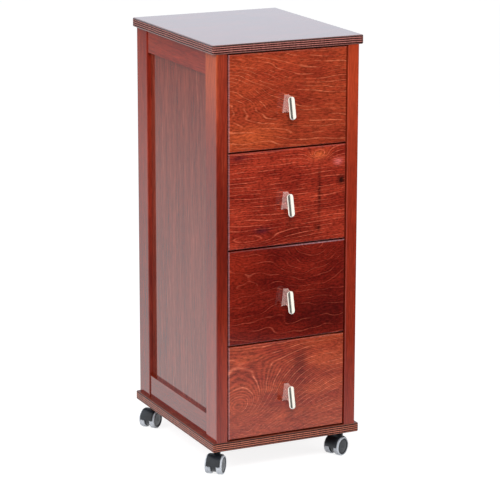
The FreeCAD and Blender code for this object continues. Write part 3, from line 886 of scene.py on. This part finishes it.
# ------------------------------------------------------------------ casters
WHEEL_RADIUS = 25 * MM
WHEEL_INNER = 7.5 * MM
WHEEL_OUTER = 23 * MM
RIM_RADIUS = 21.5 * MM
TYRE_CORNER = 2.5 * MM
TYRE_CORNER_STEPS = 4
WHEEL_STEPS = 72
HOOD_RADIUS = 28 * MM
HOOD_INSIDE = 26.2 * MM
HOOD_HALF = 19 * MM
HOOD_STEP = 3 * MM
HOOD_DROP = 0.9 * MM
HOOD_START = math.radians(3)
HOOD_SWEEP = math.radians(150)
HOOD_STEPS = 40
WEB_HALF = 6.5 * MM
WEB_RADIUS = 20 * MM
WEB_STEPS = 48
BOSS_RADIUS = 9 * MM
BOSS_LOW = 46 * MM
BOSS_STEPS = 40
MOULD_EDGE = 0.4 * MM
# The hub's outer face in mm: how far it lies inside the tyre's face, and its radius
HUB_FACE = (
    (1.2, 21.4),
    (0.7, 21.0),
    (0.7, 20.2),
    (2.2, 19.4),
    (2.2, 17.8),
    (1.2, 16.8),
    (0.7, 11.0),
    (0.5, 6.2),
    (1.1, 5.6),
    (1.1, 4.8),
    (0.5, 4.2),
    (0.4, 0.0),
)


def quarter_turn(out, radius, start):
    """Profile points of the tyre's rounded corner, from one angle to 90 degrees on."""
    points = []
    for step in range(TYRE_CORNER_STEPS + 1):
        angle = start + math.pi / 2 * step / TYRE_CORNER_STEPS
        across, up = TYRE_CORNER * math.cos(angle), TYRE_CORNER * math.sin(angle)
        points.append((out + across, radius + up))
    return points


def tyre_shape():
    """Smooth pale tread, rounded at both sides."""
    shoulder = WHEEL_RADIUS - TYRE_CORNER
    profile = [(WHEEL_OUTER, RIM_RADIUS)]
    profile += quarter_turn(WHEEL_OUTER - TYRE_CORNER, shoulder, 0.0)
    profile += quarter_turn(WHEEL_INNER + TYRE_CORNER, shoulder, math.pi / 2)
    profile += [(WHEEL_INNER, RIM_RADIUS)]
    return turned(profile, WHEEL_STEPS)


def hub_shape():
    """Closed disc: a raised rim, a groove inside it, and a low dome with a centre cap."""
    back = WHEEL_INNER + MOULD_EDGE
    profile = [(back, 0.0), (back, RIM_RADIUS - MOULD_EDGE / 4)]
    profile += [(WHEEL_OUTER - depth * MM, radius * MM) for depth, radius in HUB_FACE]
    return turned(profile, WHEEL_STEPS, close=False)


def on_wheel_axis(shape):
    """Turn a part-turn shape so that it starts where the hood does."""
    return move(shape, Matrix.Rotation(-HOOD_START, 4, "Y"))


def hood_shape():
    """Curved cover over both wheels, stepped down at its two rims."""
    low = HOOD_RADIUS - HOOD_DROP
    side = [
        (HOOD_HALF, HOOD_INSIDE),
        (HOOD_HALF, low - MOULD_EDGE),
        (HOOD_HALF - MOULD_EDGE, low),
        (HOOD_HALF - HOOD_STEP, low),
        (HOOD_HALF - HOOD_STEP, HOOD_RADIUS - MOULD_EDGE),
        (HOOD_HALF - HOOD_STEP - MOULD_EDGE, HOOD_RADIUS),
    ]
    profile = side + [(-out, radius) for out, radius in reversed(side)]
    return on_wheel_axis(turned(profile, HOOD_STEPS, HOOD_SWEEP))


def web_shape():
    """Plate that holds the hood, between the wheels."""
    top = HOOD_INSIDE + MOULD_EDGE
    bottom = WEB_RADIUS / 2
    profile = [(-WEB_HALF, bottom), (-WEB_HALF, top), (WEB_HALF, top), (WEB_HALF, bottom)]
    return on_wheel_axis(turned(profile, HOOD_STEPS, HOOD_SWEEP))


def web_disc():
    """Round body of the housing, between the wheels and all round the axle."""
    profile = [
        (-WEB_HALF, 0.0),
        (-WEB_HALF, WEB_RADIUS - MOULD_EDGE),
        (-WEB_HALF + MOULD_EDGE, WEB_RADIUS),
        (WEB_HALF - MOULD_EDGE, WEB_RADIUS),
        (WEB_HALF, WEB_RADIUS - MOULD_EDGE),
        (WEB_HALF, 0.0),
    ]
    return turned(profile, WEB_STEPS, close=False)


def stem_boss(top):
    """Upright round boss that the caster's stem turns in."""
    shape = bmesh.new()
    bmesh.ops.create_cone(
        shape,
        cap_ends=True,
        segments=BOSS_STEPS,
        radius1=BOSS_RADIUS,
        radius2=BOSS_RADIUS,
        depth=top - BOSS_LOW,
    )
    bmesh.ops.translate(shape, vec=(0, 0, (top + BOSS_LOW) / 2), verts=shape.verts)
    return shape


def build_casters():
    # Glass-filled nylon comes out of its mould near-black, with a soft sheen
    nylon = moulded("moulded_black_nylon", "#15181d", "#20252b", 1.2, 0.42, 0.25)
    hub_nylon = moulded("moulded_hub_nylon", "#1b1f24", "#2a2f35", 1.2, 0.42, 0.2)
    # Soft non-marking rubber: pale, cool grey and quite matt
    rubber = moulded("grey_soft_tyre", "#b9bec6", "#ccd1d8", 1.5, 0.5, 0.2)
    for corner in corners:
        name = f"caster_{corner}"
        stem = Vector(joints[f"{name}_swivel"]["pos_m"])
        wheel = Vector(joints[f"{name}_left_wheel_spin"]["pos_m"])
        trail = math.atan2(wheel.y - stem.y, wheel.x - stem.x)
        turn = Matrix.Rotation(trail, 4, "Z")
        at_axle = Matrix.Translation(wheel) @ turn
        at_stem = Matrix.Translation((stem.x, stem.y, 0)) @ turn
        boss_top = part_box(f"{name}_housing")[1].z
        housing = [move(shape, at_axle) for shape in (hood_shape(), web_shape(), web_disc())]
        housing.append(move(stem_boss(boss_top), at_stem))
        finish_piece(
            f"{name}_hood",
            join_shapes(housing),
            f"{name}_fork",
            nylon,
            f"{name}_housing",
            eased=MOULD_EDGE,
        )
        for side, flip in (("left", 0.0), ("right", math.pi)):
            body = f"{name}_{side}_wheel"
            place = at_axle @ Matrix.Rotation(flip, 4, "Z")
            tyre = move(tyre_shape(), place)
            hub = move(hub_shape(), place)
            finish_piece(f"{body}_tyre", tyre, body, rubber, body)
            finish_piece(f"{body}_hub", hub, body, hub_nylon, body)


# ------------------------------------------------------------------ stage, light, camera
FLOOR_HALF = 9.0
FLOOR_MATTE = (0.6, 0.6, 0.6, 1)
# What the viewer sees of the floor: a white glow, and the part that takes the shadow
FLOOR_WHITE = 0.86
FLOOR_SHADED = (0.35, 0.35, 0.35, 1)
COOL_WHITE = (0.97, 0.98, 1, 1)
# How bright the white sweep is in reflections, at GLOW_START and at GLOW_REACH metres from
# the cabinet. It is lit from behind and from the left, so it falls off FRONT_FALL times as
# fast along GLOW_WAY, to the right front.
FLOOR_GLOW = (1.45, 0.05)
GLOW_START = 0.3
GLOW_REACH = 9.0
GLOW_WAY = Vector((0.8, -0.6, 0.0))
FRONT_FALL = 7.0
AMBIENT = 0.42
# The room as reflections show it: warm in front of the cabinet, and cooler past it. The
# change runs over a way's share of +Y.
ROOM_FRONT = (1.3, 1.27, 1.22, 1.0)
ROOM_BACK = (1.21, 1.31, 1.46, 1.0)
ROOM_CHANGE = (-0.2, 0.6)
# A dark doorway in front, a little to the right, that shows as a line down each pull. Its
# soft edge runs over the cosine of the angle from its middle.
DOOR_WAY = Vector((0.136, -0.968, 0.21))
DOOR_DARK = 0.1
DOOR_EDGE = (0.985, 0.95)


def ray_gates(tree):
    """Is the ray the camera's; and is it one that a shiny or a clear surface sends on."""
    path = add(tree, "ShaderNodeLightPath")
    shiny = add(
        tree,
        "ShaderNodeMath",
        {0: path.outputs["Is Glossy Ray"], 1: path.outputs["Is Transmission Ray"]},
        operation="MAXIMUM",
    )
    return path.outputs["Is Camera Ray"], shiny


def floor_glow(tree):
    """Brightness of the floor in reflections, by how far it is from the cabinet."""
    place = add(tree, "ShaderNodeTexCoord").outputs["Object"]
    ahead = add(tree, "ShaderNodeVectorMath", {0: place, 1: GLOW_WAY}, operation="DOT_PRODUCT")
    aside = add(tree, "ShaderNodeVectorMath", {0: place, 1: GLOW_WAY}, operation="CROSS_PRODUCT")
    aside_part = add(tree, "ShaderNodeSeparateXYZ", {0: aside}).outputs["Z"]
    behind = add(tree, "ShaderNodeMath", {0: ahead, 1: -1.0}, operation="MULTIPLY")
    stretched = add(tree, "ShaderNodeMath", {0: ahead, 1: FRONT_FALL}, operation="MULTIPLY")
    reach = add(tree, "ShaderNodeMath", {0: behind, 1: stretched}, operation="MAXIMUM")
    spread = add(tree, "ShaderNodeCombineXYZ", {"X": aside_part, "Y": reach})
    far = add(tree, "ShaderNodeVectorMath", {0: spread}, operation="LENGTH")
    return add(
        tree,
        "ShaderNodeMapRange",
        {
            "Value": far,
            "From Min": GLOW_START,
            "From Max": GLOW_REACH,
            "To Min": FLOOR_GLOW[0],
            "To Max": FLOOR_GLOW[1],
        },
    )


def build_floor():
    """White paper sweep: plain white to the viewer, with a faint shadow under the cabinet."""
    shape = bmesh.new()
    bmesh.ops.create_grid(shape, x_segments=1, y_segments=1, size=FLOOR_HALF)
    mesh = bpy.data.meshes.new("floor")
    shape.to_mesh(mesh)
    shape.free()
    floor = bpy.data.objects.new("floor", mesh)
    bpy.context.collection.objects.link(floor)
    made, tree = new_material("white_sweep")
    camera_ray, shiny_ray = ray_gates(tree)
    matte = add(tree, "ShaderNodeBsdfDiffuse", {"Color": FLOOR_MATTE})
    shaded = add(tree, "ShaderNodeBsdfDiffuse", {"Color": FLOOR_SHADED})
    white = add(tree, "ShaderNodeEmission", {"Strength": FLOOR_WHITE})
    seen = add(tree, "ShaderNodeAddShader", {0: shaded, 1: white})
    glow = floor_glow(tree)
    mirrored = add(tree, "ShaderNodeEmission", {"Color": COOL_WHITE, "Strength": glow})
    unseen = add(tree, "ShaderNodeMixShader", {0: camera_ray, 1: matte, 2: seen})
    final = add(tree, "ShaderNodeMixShader", {0: shiny_ray, 1: unseen, 2: mirrored})
    add(tree, "ShaderNodeOutputMaterial", {"Surface": final})
    mesh.materials.append(made)


def room_glow(tree):
    """Colour of the room in reflections, by the way that it lies in."""
    way = add(tree, "ShaderNodeTexCoord").outputs["Generated"]
    parts = add(tree, "ShaderNodeSeparateXYZ", {0: way})
    start, end = ROOM_CHANGE
    past = add(
        tree,
        "ShaderNodeMapRange",
        {"Value": parts.outputs["Y"], "From Min": start, "From Max": end},
    )
    room = add(
        tree,
        "ShaderNodeMix",
        {"Factor": past, "A": ROOM_FRONT, "B": ROOM_BACK},
        data_type="RGBA",
    )
    facing = add(tree, "ShaderNodeVectorMath", {0: way, 1: DOOR_WAY}, operation="DOT_PRODUCT")
    inner, outer = DOOR_EDGE
    opening = add(
        tree,
        "ShaderNodeMapRange",
        {"Value": facing, "From Min": inner, "From Max": outer, "To Min": DOOR_DARK, "To Max": 1},
    )
    return add(tree, "ShaderNodeVectorMath", {0: room, "Scale": opening}, operation="SCALE")


def build_world():
    """Soft light all round, a white background, and the room in reflections."""
    world = bpy.data.worlds.new("white_studio")
    bpy.context.scene.world = world
    world.use_nodes = True
    tree = world.node_tree
    tree.nodes.clear()
    camera_ray, shiny_ray = ray_gates(tree)
    ambient = add(tree, "ShaderNodeBackground", {"Color": COOL_WHITE, "Strength": AMBIENT})
    mirrored = add(tree, "ShaderNodeBackground", {"Color": room_glow(tree), "Strength": 1.0})
    white = add(tree, "ShaderNodeBackground", {"Color": (1, 1, 1, 1), "Strength": 1.0})
    shown = add(tree, "ShaderNodeMixShader", {0: shiny_ray, 1: ambient, 2: mirrored})
    final = add(tree, "ShaderNodeMixShader", {0: camera_ray, 1: shown, 2: white})
    add(tree, "ShaderNodeOutputWorld", {"Surface": final})


# Soft boxes: place, size and watts; they all point at the middle of the cabinet
SOFT_BOXES = {
    "key": ((-0.9, -2.5, 2.6), 0.9, 56),
    "fill": ((2.6, -2.6, 1.4), 2.0, 28),
    "left_fill": ((-3.0, -0.7, 2.8), 2.0, 84),
}
LIT_POINT = Vector((0.0, 0.0, 0.6))


def build_lights():
    for name, (place, size, power) in SOFT_BOXES.items():
        lamp = bpy.data.lights.new(name, "AREA")
        lamp.size = size
        lamp.energy = power
        holder = bpy.data.objects.new(name, lamp)
        bpy.context.collection.objects.link(holder)
        holder.location = place
        # Reflections show the room instead, or the glossy top would mirror a burnt-out square
        holder.visible_glossy = False
        holder.rotation_euler = (LIT_POINT - Vector(place)).to_track_quat("-Z", "Y").to_euler()


# The camera stands to the left front of the cabinet, about 6.5 m away and above its top. Its
# place is from the middle of the top slab and the carcass's underside; its angles are radians.
CAMERA_OFFSET = Vector((-2651.9, -5578.4, 2002.8)) * MM
CAMERA_YAW = 0.4458
CAMERA_PITCH = 0.2487
CAMERA_ROLL = 0.0021
SENSOR_WIDTH = 36.0
FOCAL_IN_FRAME_WIDTHS = 4.804
CLIP_END = 60.0


def build_camera():
    lens = bpy.data.cameras.new("camera")
    lens.sensor_width = SENSOR_WIDTH
    lens.lens = SENSOR_WIDTH * FOCAL_IN_FRAME_WIDTHS
    lens.clip_end = CLIP_END
    camera = bpy.data.objects.new("camera", lens)
    bpy.context.collection.objects.link(camera)
    across = math.cos(CAMERA_PITCH)
    ahead = Vector(
        (math.sin(CAMERA_YAW) * across, math.cos(CAMERA_YAW) * across, -math.sin(CAMERA_PITCH))
    )
    level = Vector((math.cos(CAMERA_YAW), -math.sin(CAMERA_YAW), 0))
    raised = level.cross(ahead)
    right = math.cos(CAMERA_ROLL) * level + math.sin(CAMERA_ROLL) * raised
    up = right.cross(ahead)
    turn = Matrix((right, up, -ahead)).transposed().to_4x4()
    place = CAMERA_OFFSET + Vector((0, CENTRE_Y, CARCASS_LOW))
    camera.matrix_world = Matrix.Translation(place) @ turn
    bpy.context.scene.camera = camera


# ------------------------------------------------------------------ the scene
steel_look = zinc_plate()
dress_carcass(steel_look)
dress_drawers(steel_look)
for caster_corner in corners:
    dress(f"caster_{caster_corner}_axle", steel_look)
build_pulls()
build_casters()
build_floor()
build_world()
build_lights()
build_camera()
bpy.context.scene.view_settings.view_transform = "Standard"
